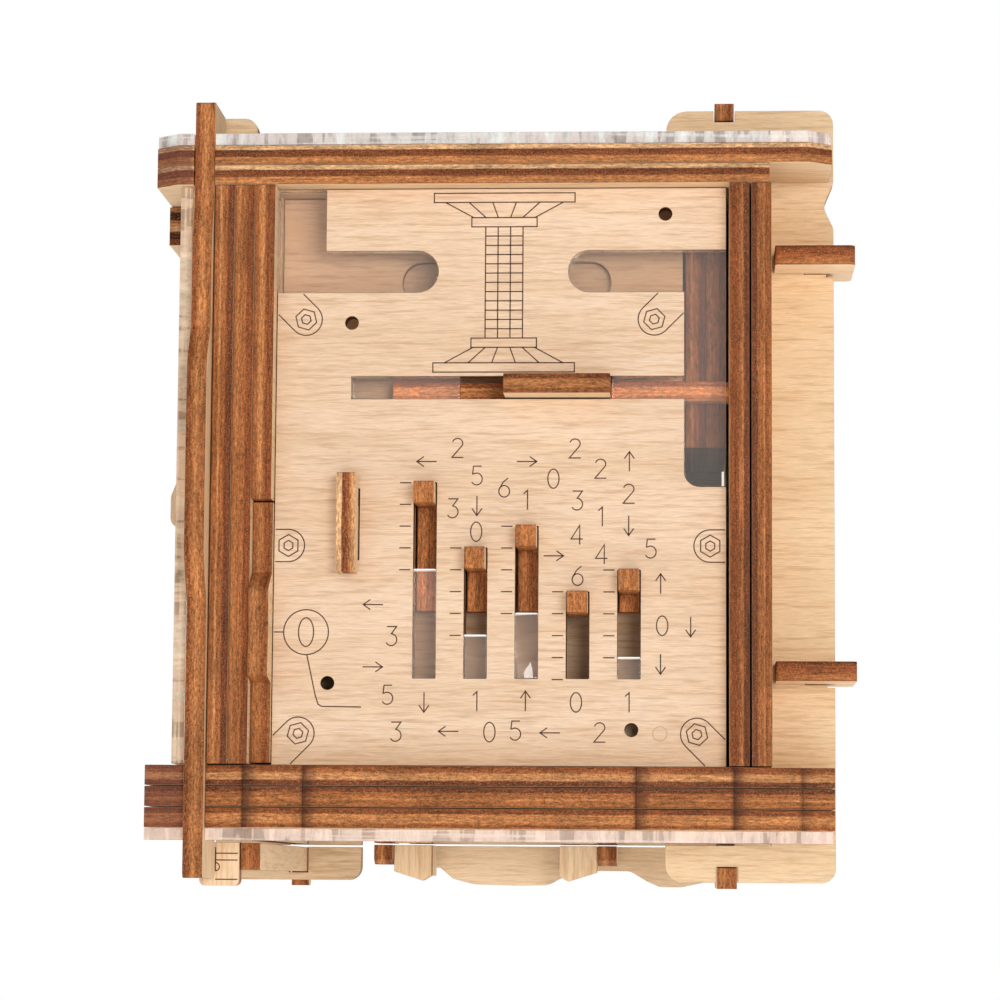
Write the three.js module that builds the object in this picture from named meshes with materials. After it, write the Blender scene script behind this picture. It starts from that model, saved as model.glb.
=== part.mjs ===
// Wooden puzzle box: laser-cut plywood plates and clear acrylic sheets, keyed together.
// Millimetres, +Z up, the puzzle face looks along -Y. The box stands on its rails at Z = 0.
import * as THREE from "three";

// ---------- driving dimensions ----------
const PLY = 3.8;             // plywood thickness
const ACRYLIC = 2.3;         // clear sheet thickness
const GAP = 0.1;             // glue line or sliding gap between two plates
const STEP = PLY + GAP;      // pitch of a stack of plates
const FIT = 0.3;             // clearance each side of a moving piece
const INLAY = 0.06;          // clearance round a clear insert in the panel

const DEPTH = 120;           // wall plates, front edge to rear edge
const MID_Y = DEPTH / 2;     // the box is centred on this

// levels
const TOP_Z = 154.0;         // top of the rails
const BRACKET_LOW = 1.2;
const BRACKET_HIGH = 152.6;
const STACK_Z = 10.9;        // underside of the bottom stack of three plates
const STACK_PITCH = 4.0;     // of those three plates
const SHEET_LOW = STACK_Z - GAP - ACRYLIC;
const WALL_LOW = STACK_Z + 3 * STACK_PITCH + 0.05;
const WALL_HIGH = 134.1;
const TOP_STACK_Z = WALL_HIGH + GAP;
const LID_Z = TOP_STACK_Z + 2 * STEP;
const LID_TOP = LID_Z + ACRYLIC;

// across the box
const LEFT_X = -67.35;
const REACH = 67.6;          // the furthest pieces on either side
const EAR_RIGHT_X = 62.9;
const PANEL_LEFT = -43.7;
const PANEL_RIGHT = 42.6;
const WALL_C_X = -47.7;
const WALL_B_X = WALL_C_X - STEP;
const WALL_A_X = WALL_B_X - STEP;
const WALL_D_X = 43.2;
const WALL_E_X = WALL_D_X + STEP + 0.35;
const UPRIGHT_X = -59.6;
const UPRIGHT_BACK = 15.0;
const SIDE_SHEET_X = -62.4;

// layers behind the front plane (Y = 0)
const PANEL_Y = 4.6;
const GUIDE_Y = PANEL_Y + PLY + 2.5;
const INNER_Y = GUIDE_Y + PLY + 0.3;
const RECESS_DEPTH = 2.0;    // of the recess in the inner plate

// sliders
const SLOT_PITCH = 9.75;
const SLOT_FIRST_X = -14.8;
const SLOT_W = 4.5;
const SLOT_LOW = 39.4;
const TICK = 4.18;
const SLOT_TICKS = [9, 6, 7, 4, 5];
const PEG = 4.1;
const BAR_LOW = 52.7;
const SLIDER_TRAVEL = 12;

// bolt and pull tab
const BOLT_Z = 95.3;
const BOLT_TRAVEL = 8.4;
const BOLT_PEG = [0.3, 20.6];
const PULL_X = -29.55;
const PULL_Z = 68.9;
const PULL_TRAVEL = 6;

// left latch and side tab
const LATCH_TOP = 73.0;
const LATCH_DEPTH = 45;
const TAB_Z = 76.2;
const TAB_TRAVEL = 8;

// brackets
const BRACKET_FRONT_Y = 20;
const BRACKET_REAR_Y = 96.2;
const RAIL_X = 40.5;
const RAIL_LOW_X = 41.0;
const LEFT_RAIL_X = -50.8;
const LEFT_RAIL_LOW = 3.0;
const RAIL_END = 19.6;
const LEFT_RAIL_END = 16;
const SHELF_Y = [10, 29];
const SHELF_Z = [39.5, 120.0];
const SHELF_ROOT = 58.2;      // the shelf is this narrow where it passes the bracket

// feet clips and skirt under the box
const CLIP_X = -3.3;         // the two clips mirror each other about this
const CLIP_Y = 46;
const SKIRT_Y = 62;

// drawer, out through the back
const BACK_Y = 111.6;
const DRAWER = { x0: -41, x1: 40.3, y0: 50, z0: 23.3, z1: 80 };

// ---------- materials ----------
const wood = (color) => () => new THREE.MeshStandardMaterial({ color, roughness: 0.7, metalness: 0 });
const birch = wood(0xf0cf9f);
const burntPly = wood(0x9a6038);
const clear = () => new THREE.MeshStandardMaterial({
  color: 0xe6e6ea, roughness: 0.08, metalness: 0, transparent: true, opacity: 0.35,
});

// ---------- outlines ----------
const ARC_STEP = Math.PI / 12;
const KERF = 0.25;

const unit = (from, to) => new THREE.Vector2(to[0] - from[0], to[1] - from[1]).normalize();

// Points of the arc that rounds one corner, in the order of the outline.
function fillet(before, corner, after, radius) {
  const back = unit(corner, before);
  const ahead = unit(corner, after);
  const half = Math.acos(THREE.MathUtils.clamp(back.dot(ahead), -1, 1)) / 2;
  const vertex = new THREE.Vector2(corner[0], corner[1]);
  const inward = back.clone().add(ahead).normalize();
  const centre = vertex.clone().addScaledVector(inward, radius / Math.sin(half));
  const start = vertex.clone().addScaledVector(back, radius / Math.tan(half));
  const sweep = (Math.PI - 2 * half) * (back.cross(ahead) > 0 ? -1 : 1);
  const segments = Math.max(3, Math.ceil(Math.abs(sweep) / ARC_STEP));
  return Array.from({ length: segments + 1 }, (_, k) => (
    start.clone().rotateAround(centre, (sweep * k) / segments)));
}

// Closed outline through [a, b, radius] corners; a missing radius is a sharp corner.
function trace(corners) {
  const n = corners.length;
  return corners.flatMap((corner, i) => {
    const [a, b, radius = 0] = corner;
    if (!radius) return [new THREE.Vector2(a, b)];
    return fillet(corners[(i + n - 1) % n], corner, corners[(i + 1) % n], radius);
  });
}

const rect = (a0, b0, a1, b1, r = 0) => [[a0, b0, r], [a1, b0, r], [a1, b1, r], [a0, b1, r]];

// Laser-cut opening between two corners, its inside corners eased.
const opening = (a0, b0, a1, b1) => rect(a0, b0, a1, b1, KERF);

const ring = (a, b, radius, sides = 16) => Array.from({ length: sides }, (_, k) => {
  const angle = (2 * Math.PI * k) / sides;
  return [a + radius * Math.cos(angle), b + radius * Math.sin(angle)];
});

function flat(corners, holes = []) {
  const shape = new THREE.Shape(trace(corners));
  shape.holes = holes.map((hole) => new THREE.Path(trace(hole)));
  return shape;
}

// ---------- plates ----------
const group = new THREE.Group();
group.position.y = -MID_Y;

const FACING = {
  x: [new THREE.Vector3(0, 1, 0), new THREE.Vector3(0, 0, 1), new THREE.Vector3(1, 0, 0)],
  y: [new THREE.Vector3(1, 0, 0), new THREE.Vector3(0, 0, 1), new THREE.Vector3(0, -1, 0)],
  z: [new THREE.Vector3(1, 0, 0), new THREE.Vector3(0, 1, 0), new THREE.Vector3(0, 0, 1)],
};

// A plate square to an axis: outline in (Y,Z), (X,Z) or (X,Y), from `low` to `low + thickness`.
function plate(name, axis, low, shape, material = burntPly, thickness = PLY) {
  const solid = new THREE.ExtrudeGeometry(shape, { depth: thickness, bevelEnabled: false, curveSegments: 1 });
  const mesh = new THREE.Mesh(solid, material());
  mesh.name = name;
  mesh.quaternion.setFromRotationMatrix(new THREE.Matrix4().makeBasis(...FACING[axis]));
  mesh.position[axis] = axis === "y" ? low + thickness : low;
  group.add(mesh);
  return mesh;
}

// One closed plate with a blind recess in its front face.
function recessed(corners, openings, recess, depth) {
  const wound = (points, clockwise) => (
    THREE.ShapeUtils.isClockWise(points) === clockwise ? points : points.reverse());
  const outer = wound(trace(corners), false);
  const through = openings.map((hole) => wound(trace(hole), true));
  const pocket = wound(trace(recess), true);
  const floor = PLY - depth;
  const positions = [];
  const face = (contour, holes, level, up) => {
    const points = [contour, ...holes].flat();
    for (const triple of THREE.ShapeUtils.triangulateShape(contour, holes)) {
      const [a, b, c] = triple.map((k) => points[k]);
      const turned = (b.x - a.x) * (c.y - a.y) - (b.y - a.y) * (c.x - a.x) > 0;
      for (const corner of turned === up ? [a, b, c] : [a, c, b]) positions.push(corner.x, corner.y, level);
    }
  };
  const sides = (loop, low, high) => loop.forEach((a, k) => {
    const b = loop[(k + 1) % loop.length];
    positions.push(a.x, a.y, low, b.x, b.y, low, b.x, b.y, high, a.x, a.y, low, b.x, b.y, high, a.x, a.y, high);
  });
  face(outer, through, 0, false);
  face(outer, [...through, pocket], PLY, true);
  face([...pocket].reverse(), [], floor, true);
  for (const loop of [outer, ...through]) sides(loop, 0, PLY);
  sides(pocket, floor, PLY);
  const solid = new THREE.BufferGeometry();
  solid.setAttribute("position", new THREE.Float32BufferAttribute(positions, 3));
  solid.computeVertexNormals();
  return solid;
}

// ---------- puzzle face ----------
const slotX = (i) => SLOT_FIRST_X + i * SLOT_PITCH;
const slotTop = (i) => SLOT_LOW + SLOT_TICKS[i] * TICK;
const SLOTS = SLOT_TICKS.map((ticks, i) => i);

// The two windows and the bolt's slot share these levels.
const ARM = { low: 113.75, high: 122, left: -12.6, right: 12.3 };
const ARM_R = (ARM.high - ARM.low) / 2 - 0.05;
const HOOK = { x: 34.6, low: 76.1, r: 3 };
const CORNER_X = -34.4;
const PANEL_TOP = WALL_HIGH - GAP;
const BOLT_SLOT = { x: -29.3, low: BOLT_Z - SLOT_W / 2, high: BOLT_Z + SLOT_W / 2 };
const slotInsertTop = (i) => slotTop(i) - SLIDER_TRAVEL - PEG - 0.5;

function frontPanel() {
  const outline = [
    [PANEL_LEFT, WALL_LOW], [PANEL_RIGHT, WALL_LOW],
    [PANEL_RIGHT, HOOK.low], [HOOK.x, HOOK.low, HOOK.r],
    [HOOK.x, BOLT_SLOT.low], [BOLT_SLOT.x, BOLT_SLOT.low], [BOLT_SLOT.x, BOLT_SLOT.high], [HOOK.x, BOLT_SLOT.high],
    [HOOK.x, ARM.low], [ARM.right, ARM.low, ARM_R], [ARM.right, ARM.high, ARM_R],
    [PANEL_RIGHT, ARM.high], [PANEL_RIGHT, PANEL_TOP],
    [CORNER_X, PANEL_TOP], [CORNER_X, ARM.high],
    [ARM.left, ARM.high, ARM_R], [ARM.left, ARM.low, ARM_R], [PANEL_LEFT, ARM.low],
  ];
  const holes = SLOTS.map((i) => (
    opening(slotX(i) - SLOT_W / 2, SLOT_LOW, slotX(i) + SLOT_W / 2, slotTop(i))));
  holes.push(rect(PULL_X - 2.2, PULL_Z - 6.9, PULL_X + 2.2, PULL_Z + 6.9));
  for (const [x, z] of [[-29.3, 107.9], [31, 129], [-33.2, 38.5], [24.7, 29.8]]) {
    holes.push(ring(x, z, 1.35));
  }
  plate("front_panel", "y", PANEL_Y, flat(outline, holes), birch);
}

// Clear inserts, flush with the panel: two windows, and the ends of the slots that stop the pegs.
function inserts() {
  const g = INLAY;
  const insert = (name, corners) => plate(name, "y", PANEL_Y, flat(corners), clear);
  insert("window_insert_left", [
    [PANEL_LEFT, ARM.low + g], [ARM.left - g, ARM.low + g, ARM_R - g], [ARM.left - g, ARM.high - g, ARM_R - g],
    [CORNER_X - g, ARM.high - g], [CORNER_X - g, PANEL_TOP], [PANEL_LEFT, PANEL_TOP],
  ]);
  const pegEnd = BOLT_PEG[1] + FIT;
  const x = HOOK.x + g;
  insert("window_insert_right", [
    [ARM.right + g, ARM.low + g, ARM_R - g], [x, ARM.low + g], [x, BOLT_SLOT.high - g],
    [pegEnd, BOLT_SLOT.high - g], [pegEnd, BOLT_SLOT.low + g], [x, BOLT_SLOT.low + g],
    [x, HOOK.low + g, HOOK.r - g], [PANEL_RIGHT, HOOK.low + g], [PANEL_RIGHT, ARM.high - g],
    [ARM.right + g, ARM.high - g, ARM_R - g],
  ]);
  const boltEnd = BOLT_PEG[0] - BOLT_TRAVEL - FIT;
  insert("bolt_slot_insert", rect(BOLT_SLOT.x + g, BOLT_SLOT.low + g, boltEnd, BOLT_SLOT.high - g));
  for (const i of SLOTS.filter((k) => slotInsertTop(k) - SLOT_LOW > 1)) {
    const half = SLOT_W / 2 - g;
    insert(`slot_insert_${i + 1}`, opening(slotX(i) - half, SLOT_LOW + g, slotX(i) + half, slotInsertTop(i)));
  }
}

function slider(i) {
  const top = slotTop(i) - 0.2;
  const outline = [
    [GUIDE_Y, BAR_LOW], [GUIDE_Y + PLY, BAR_LOW], [GUIDE_Y + PLY, top], [0.1, top, 0.3],
    [0.1, top - PEG, 0.3], [GUIDE_Y, top - PEG],
  ];
  plate(`slider_${i + 1}`, "x", slotX(i) - (SLOT_W - 2 * FIT) / 2, flat(outline), burntPly, SLOT_W - 2 * FIT);
}

function sliderGuide() {
  const outline = rect(-21, WALL_LOW + 1, 30.5, 83);
  const channels = SLOTS.map((i) => (
    opening(slotX(i) - 2.4, SLOT_LOW - 0.5, slotX(i) + 2.4, slotTop(i) + 0.5)));
  plate("slider_guide", "y", GUIDE_Y, flat(outline, channels), birch);
}

function bolt() {
  const rear = GUIDE_Y + PLY;
  const outline = [
    [-21.7, GUIDE_Y], [BOLT_PEG[0], GUIDE_Y], [BOLT_PEG[0], -1.4], [BOLT_PEG[1], -1.4],
    [BOLT_PEG[1], GUIDE_Y], [46.2, GUIDE_Y], [46.2, rear], [-21.7, rear],
  ];
  plate("bolt_slider", "z", BOLT_Z - PLY / 2, flat(outline), burntPly);
}

// T-shaped tab; the hook on its tail catches the back of the inner plate.
function pullTab() {
  const neck = PANEL_Y - 0.3;
  const hook = INNER_Y + PLY + PULL_TRAVEL + 0.4;
  const outline = [
    [-0.2, PULL_Z - 9.5], [neck, PULL_Z - 9.5], [neck, PULL_Z - 6.6], [hook, PULL_Z - 6.6], [hook, PULL_Z - 9.6],
    [30, PULL_Z - 9.6], [30, PULL_Z + 3.6], [neck, PULL_Z + 3.6], [neck, PULL_Z + 9.5], [-0.2, PULL_Z + 9.5],
  ];
  plate("pull_tab", "x", PULL_X - PLY / 2, flat(outline));
}

// The inner plate has a shallow recess across it, whose round ends show through the two windows.
function innerPlate() {
  const outline = rect(PANEL_LEFT, WALL_LOW, 34.3, WALL_HIGH - 0.2);
  const r = 4.1;
  const recess = rect(-20.4, 117.3 - r, 20.4, 117.3 + r, r - 0.05);
  const mortise = rect(PULL_X - 2.2, PULL_Z - 6.9, PULL_X + 2.2, PULL_Z + 6.9);
  const mesh = plate("inner_plate", "y", INNER_Y, flat(outline, [mortise]), birch);
  mesh.geometry = recessed(outline, [mortise], recess, RECESS_DEPTH);
  for (const [k, name] of ["inner_spacer_left", "inner_spacer_right"].entries()) {
    const outlineYZ = rect(INNER_Y, 84.8, 54, WALL_HIGH - 0.2);
    plate(name, "x", 34.9 + k * STEP, flat(outlineYZ));
  }
}

// ---------- walls ----------
const wallOutline = () => rect(0, WALL_LOW, DEPTH, WALL_HIGH);

function leftWalls() {
  plate("left_wall_outer", "x", WALL_A_X, flat(wallOutline()));
  plate("left_wall_middle", "x", WALL_B_X, flat(wallOutline()));
  const notch = LATCH_DEPTH + FIT;
  const innerOutline = [
    [notch, WALL_LOW], [DEPTH, WALL_LOW], [DEPTH, WALL_HIGH], [0, WALL_HIGH],
    [0, LATCH_TOP + FIT], [notch, LATCH_TOP + FIT],
  ];
  plate("left_wall_inner", "x", WALL_C_X, flat(innerOutline));
}

function leftLatch() {
  const low = WALL_LOW + FIT;
  const outline = [
    [3.4, low], [LATCH_DEPTH, low], [LATCH_DEPTH, LATCH_TOP], [3.4, LATCH_TOP],
    [3.4, 59.5], [-2.2, 56, 1.5], [-1.2, 48, 3], [-2.2, 39.5, 1], [3.4, 38.4],
  ];
  plate("left_latch", "x", WALL_C_X, flat(outline));
}

function rightWalls() {
  const mortise = rect(GUIDE_Y - FIT, BOLT_Z - SLOT_W / 2, GUIDE_Y + PLY + FIT, BOLT_Z + SLOT_W / 2);
  plate("right_wall_inner", "x", WALL_D_X, flat(wallOutline(), [mortise]));
  plate("right_wall_outer", "x", WALL_E_X, flat(wallOutline()));
}

// Profiled upright that crosses the top and bottom stacks; the rear one is its mirror image.
function upright(name, mirrored) {
  const profile = [
    [0.3, 150.5, 0.6], [UPRIGHT_BACK, 150.5, 1.5], [UPRIGHT_BACK, 1.4], [-1.1, 1.4, 1.2],
    [-1.1, 53.5], [-6, 62.5, 6], [-6, 99, 6], [-1.6, 106.2], [-1.6, 124, 8], [0.3, 130, 8],
  ];
  const outline = mirrored ? profile.map(([y, z, r]) => [DEPTH - y, z, r]) : profile;
  plate(name, "x", UPRIGHT_X, flat(outline));
}

// ---------- stacks above and below ----------
// Stretches of an outline that clear the uprights (front and rear) and the left rear bracket.
const SLOT_X0 = UPRIGHT_X - 0.2;
const SLOT_X1 = UPRIGHT_X + PLY + 0.1;
const frontUprightSlot = (y) => [
  [SLOT_X0, y], [SLOT_X0, UPRIGHT_BACK + 0.3], [SLOT_X1, UPRIGHT_BACK + 0.3], [SLOT_X1, y]];
const rearUprightSlot = (y) => frontUprightSlot(y).map(([x, v]) => [x, DEPTH - v]).reverse();
const bracketNotch = (x) => [
  [x, BRACKET_REAR_Y + PLY + 0.2], [SIDE_SHEET_X - 0.1, BRACKET_REAR_Y + PLY + 0.2],
  [SIDE_SHEET_X - 0.1, BRACKET_REAR_Y - 0.2], [x, BRACKET_REAR_Y - 0.2]];

// Right-hand edge: ears in front of the front bracket and behind the rear one.
const EAR_BACK = BRACKET_FRONT_Y - 0.2;
const EAR_ROOT = WALL_E_X + PLY;
const SHEET_LEFT_X = LEFT_X + 0.1;
const rightEars = (x, y) => [
  [x, y], [x, EAR_BACK], [EAR_ROOT, EAR_BACK], [EAR_ROOT, DEPTH - EAR_BACK],
  [x, DEPTH - EAR_BACK], [x, DEPTH - y]];

// Bottom plates: shallow steps along the front edge.
function bottomOutline() {
  const steps = [
    [-48.4, 0.4], [-48.4, -0.5], [-37.1, -0.5], [-37.1, 0.1], [25.8, 0.1], [25.8, -0.6],
    [44, -0.6], [44, 0], [56.7, 0], [56.7, 0.8],
  ];
  return [
    [LEFT_X, 0.9], ...frontUprightSlot(0.9), ...steps, ...rightEars(EAR_RIGHT_X, 0.8),
    ...rearUprightSlot(0.8), [LEFT_X, DEPTH - 0.8], ...bracketNotch(LEFT_X),
  ];
}

function bottomStack() {
  ["bottom_plate_lower", "bottom_plate_middle", "bottom_plate_upper"].forEach((name, k) => {
    plate(name, "z", STACK_Z + k * STACK_PITCH, flat(bottomOutline()));
  });
  const sheet = [
    [SHEET_LEFT_X, 0.6], ...frontUprightSlot(0.6), ...rightEars(62.5, 0.6), ...rearUprightSlot(0.6),
    [SHEET_LEFT_X, DEPTH - 0.6], ...bracketNotch(SHEET_LEFT_X),
  ];
  plate("bottom_cover_sheet", "z", SHEET_LOW, flat(sheet), clear, ACRYLIC);
}

// Top plates: chamfered corners.
const CHAMFER = [4.5, 3.2];

function topOutline(left, right, inset) {
  const y = inset;
  const corner = inset + CHAMFER[1];
  return [
    [left, corner], [left + CHAMFER[0], y], ...frontUprightSlot(y), ...right, ...rearUprightSlot(y),
    [left + CHAMFER[0], DEPTH - y], [left, DEPTH - corner], ...bracketNotch(left),
  ];
}

function topStack() {
  const flush = [[EAR_ROOT - 0.35, 0], [EAR_ROOT - 0.35, DEPTH]];
  const ears = (x, inset) => [
    [x - CHAMFER[0], inset], ...rightEars(x, inset + CHAMFER[1]), [x - CHAMFER[0], DEPTH - inset]];
  plate("top_plate_inner", "z", TOP_STACK_Z, flat(topOutline(LEFT_X, flush, 0)));
  plate("top_plate_outer", "z", TOP_STACK_Z + STEP, flat(topOutline(LEFT_X, ears(EAR_RIGHT_X, 0), 0)));
  const sheet = topOutline(SHEET_LEFT_X, ears(EAR_RIGHT_X - 0.2, 0.4), 0.4);
  plate("top_cover_sheet", "z", LID_Z, flat(sheet), clear, ACRYLIC);
}

// ---------- left side dressing ----------
function leftSide() {
  const slotHalf = 2.2;
  const tabSlot = rect(24 - slotHalf, TAB_Z - 3.5, 24 + slotHalf, TAB_Z + TAB_TRAVEL + 3.5);
  plate("left_cover_sheet", "x", SIDE_SHEET_X, flat(rect(1.5, WALL_LOW, DEPTH - 1.5, WALL_HIGH - 0.1), [tabSlot]),
    clear, ACRYLIC);
  // finger tab in the XZ plane, working in a slot of the left sheet
  const inside = SIDE_SHEET_X + ACRYLIC + 0.4;
  const outside = SIDE_SHEET_X - 0.4;
  const tab = [
    [-56.3, TAB_Z - 6.4], [inside, TAB_Z - 6.4], [inside, TAB_Z - 3], [outside, TAB_Z - 3],
    [outside, TAB_Z - 6.2], [-66.6, TAB_Z - 6.2, 2], [-66.6, TAB_Z, 3], [-63.9, TAB_Z + 7, 0.6],
    [outside, TAB_Z + 7], [outside, TAB_Z + 3], [inside, TAB_Z + 3], [inside, TAB_Z + 6.4], [-56.3, TAB_Z + 6.4],
  ];
  plate("left_finger_tab", "y", 24 - PLY / 2, flat(tab), birch);
  const block = flat(rect(-REACH, 21, SIDE_SHEET_X - 0.2, 40));
  plate("left_block", "z", WALL_HIGH - 2 * STEP, block, burntPly, 2 * STEP - GAP);
}

// ---------- brackets, rails and lugs ----------
// Notch in a bracket flange where a rail laps over it, from the free edge inwards.
const LAP_LOW = 3.0;
const LAP_HIGH = 2.2;
const railNotch = (x, edge, depth) => [
  [x - 0.2, edge], [x - 0.2, edge + depth], [x + PLY + 0.2, edge + depth], [x + PLY + 0.2, edge]];

// C-shaped right-hand bracket: a strip beside the wall, a flange over the box and one under it.
function bracketOutline(outer, edge) {
  const strip = EAR_ROOT + 0.2;
  const inner = 31;
  return [
    [inner, BRACKET_LOW, 3.2], ...railNotch(RAIL_LOW_X, BRACKET_LOW, LAP_LOW), [outer, BRACKET_LOW, 2.8],
    ...edge, [outer, BRACKET_HIGH, 2.8], ...railNotch(RAIL_X, BRACKET_HIGH, -LAP_HIGH).reverse(),
    [inner, BRACKET_HIGH, 4], [inner, LID_TOP + 0.2], [strip, LID_TOP + 0.2],
    [strip, SHEET_LOW - 0.2], [inner, SHEET_LOW - 0.2],
  ];
}

// Left-hand bracket: the rail lies in a notch in the top of its lower flange.
function leftBracketOutline() {
  const strip = SIDE_SHEET_X - 0.3;
  const low = SHEET_LOW - 0.2;
  return [
    [-35.3, BRACKET_LOW, 2.8], [-35.3, low], [LEFT_RAIL_X + PLY + 0.2, low],
    [LEFT_RAIL_X + PLY + 0.2, LEFT_RAIL_LOW - 0.2], [LEFT_RAIL_X - 0.2, LEFT_RAIL_LOW - 0.2],
    [LEFT_RAIL_X - 0.2, low], [strip, low], [strip, LID_TOP + 0.2], [-35.3, LID_TOP + 0.2],
    [-35.3, BRACKET_HIGH, 2.8], [-67, BRACKET_HIGH, 2.8], [-67, BRACKET_LOW, 2.8],
  ];
}

// Notch in the bracket's outer edge for a shelf, with a small relief below its mouth.
const shelfNotch = (outer, z) => [
  [outer, z - 0.7], [outer - 1.5, z - 0.7], [outer - 1.5, z - 0.15], [SHELF_ROOT - 0.2, z - 0.15],
  [SHELF_ROOT - 0.2, z + PLY + 0.15], [outer, z + PLY + 0.15]];

function brackets() {
  const outer = 63.8;
  const scallop = [[outer, 129, 3], [outer - 2, 133.2, 2.5], [outer, 138, 3]];
  const notches = SHELF_Z.flatMap((z) => shelfNotch(outer, z));
  const front = bracketOutline(outer, [...notches, ...scallop]);
  plate("right_bracket_front", "y", BRACKET_FRONT_Y, flat(front), birch);
  plate("right_bracket_rear", "y", BRACKET_REAR_Y, flat(bracketOutline(outer, scallop)), birch);
  plate("left_bracket_rear", "y", BRACKET_REAR_Y, flat(leftBracketOutline()), birch);
}

// Rail on edge, lapped over the flanges of the front and rear brackets.
function rail(name, x, top) {
  const outer = top ? TOP_Z : 0;
  const inner = top ? LID_TOP + 0.3 : SHEET_LOW - 0.3;
  const seat = top ? BRACKET_HIGH - LAP_HIGH + 0.2 : BRACKET_LOW + LAP_LOW - 0.2;
  const frontBracket = BRACKET_FRONT_Y + PLY + 0.15;
  const rearBracket = BRACKET_REAR_Y - 0.15;
  const rearEnd = DEPTH - RAIL_END;
  const front = [[RAIL_END, seat], [frontBracket, seat], [frontBracket, inner]];
  const rear = [[rearBracket, inner], [rearBracket, seat], [rearEnd, seat], [rearEnd, outer]];
  plate(name, "x", x, flat([[RAIL_END, outer], ...front, ...rear]));
}

function rails() {
  rail("top_right_rail", RAIL_X, true);
  rail("bottom_right_rail", RAIL_LOW_X, false);
  leftRail();
}

// The rail under the left side lies in the rear bracket and ends in a foot behind it.
function leftRail() {
  const high = SHEET_LOW - 0.3;
  const rearBracket = BRACKET_REAR_Y + PLY + 0.15;
  const rearEnd = DEPTH - LEFT_RAIL_END;
  plate("bottom_left_rail", "x", LEFT_RAIL_X, flat([
    [LEFT_RAIL_END, LEFT_RAIL_LOW, 1], [rearBracket, LEFT_RAIL_LOW], [rearBracket, 0], [rearEnd, 0, 1],
    [rearEnd, high], [LEFT_RAIL_END, high]]));
}

// Small plates behind the front upright's ends.
function lugs() {
  const y = UPRIGHT_BACK + 0.4;
  const low = LID_TOP + 0.2;
  const high = SHEET_LOW - 0.2;
  plate("top_left_lug", "y", y, flat([[-59.4, low], [-49.5, low], [-49.5, 150.6, 2.6], [-59.4, 150.6]]), birch);
  plate("bottom_left_lug", "y", y, flat([[-58.7, 0, 1], [-51, 0, 1], [-51, high], [-58.7, high]]), birch);
}

// Shelves: tabs that slide into the right front bracket, notched where its strip is.
function shelves() {
  const [y0, y1] = SHELF_Y;
  const x0 = EAR_ROOT + 0.9;
  const before = BRACKET_FRONT_Y - 0.15;
  const after = BRACKET_FRONT_Y + PLY + 0.15;
  const outline = [
    [x0, y0, 0.6], [REACH, y0, 1.2], [REACH, y1, 1.2], [x0, y1, 0.6],
    [x0, after], [SHELF_ROOT, after], [SHELF_ROOT, before], [x0, before],
  ];
  plate("right_shelf_lower", "z", SHELF_Z[0], flat(outline));
  plate("right_shelf_upper", "z", SHELF_Z[1], flat(outline));
}

// Feet clips: a light centre plate between two cheeks, and the wavy skirt behind them.
function clip(side, sign) {
  const at = (x) => CLIP_X + sign * x;
  const high = SHEET_LOW - 0.2;
  const centre = [[12.9, 2.2], [14.6, 1.2], [20.4, 3.0], [20.4, high], [12.9, high]].map(([x, z]) => [at(x), z]);
  plate(`${side}_clip_centre`, "y", CLIP_Y, flat(sign > 0 ? centre : centre.reverse()), birch);
  const cheek = (name, x, low) => {
    const outline = [[CLIP_Y - 1, high], [CLIP_Y - 1, low + 1], [CLIP_Y + 1, low], [60, low], [60, high]];
    plate(`${side}_clip_${name}`, "x", sign > 0 ? at(x) : at(x) - PLY, flat(outline));
  };
  cheek("outer_cheek", 20.6, 4.4);
  const outline = rect(CLIP_Y + PLY + 0.3, 2.2, 60, high);
  plate(`${side}_clip_inner_cheek`, "x", sign > 0 ? at(12.9) : at(12.9) - PLY, flat(outline));
}

function skirt() {
  const high = SHEET_LOW - 0.2;
  const wave = [
    [-22, 4.2], [-15.5, 3.8, 1], [-12.9, 1.6, 2], [-8.5, 0.5, 6], [0, 0.3, 6], [6.5, 0.4, 4], [9.8, 2.2, 2],
    [16, 3.4, 3], [23.5, 3.4, 3], [26.8, 1.4, 2], [29.5, 0.2, 2], [34, 0.2, 2], [39.6, 1.4, 1],
  ];
  plate("bottom_skirt", "y", SKIRT_Y, flat([...wave, [39.6, high], [-22, high]]), birch);
}

// ---------- back and drawer ----------
function backPanel() {
  const { x0, x1, z1 } = DRAWER;
  const outline = [
    [PANEL_LEFT, WALL_LOW], [x0 - FIT, WALL_LOW], [x0 - FIT, z1 + FIT], [x1 + FIT, z1 + FIT],
    [x1 + FIT, WALL_LOW], [PANEL_RIGHT, WALL_LOW], [PANEL_RIGHT, WALL_HIGH], [PANEL_LEFT, WALL_HIGH],
  ];
  const holes = [ring(-30, 107, 1.35), ring(30, 107, 1.35)];
  plate("back_panel", "y", BACK_Y, flat(outline, holes), birch);
}

function drawer() {
  const { x0, x1, y0, z0, z1 } = DRAWER;
  const rim = z1 - 8;
  const floorTop = z0 + STEP;
  const y1 = BACK_Y - GAP;
  const middle = (x0 + x1) / 2;
  const front = [
    [x0, z0], [x1, z0], [x1, z1], [middle + 9, z1, 1], [middle + 9, z1 - 9, 6], [middle - 9, z1 - 9, 6],
    [middle - 9, z1, 1], [x0, z1]];
  plate("drawer_front", "y", BACK_Y, flat(front), birch);
  plate("drawer_floor", "z", z0, flat(rect(x0, y0, x1, y1)), birch);
  plate("drawer_side_left", "x", x0, flat(rect(y0, floorTop, y1, rim)));
  plate("drawer_side_right", "x", x1 - PLY, flat(rect(y0, floorTop, y1, rim)));
  plate("drawer_back", "y", y0, flat(rect(x0 + STEP, floorTop, x1 - STEP, rim)));
}

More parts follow.
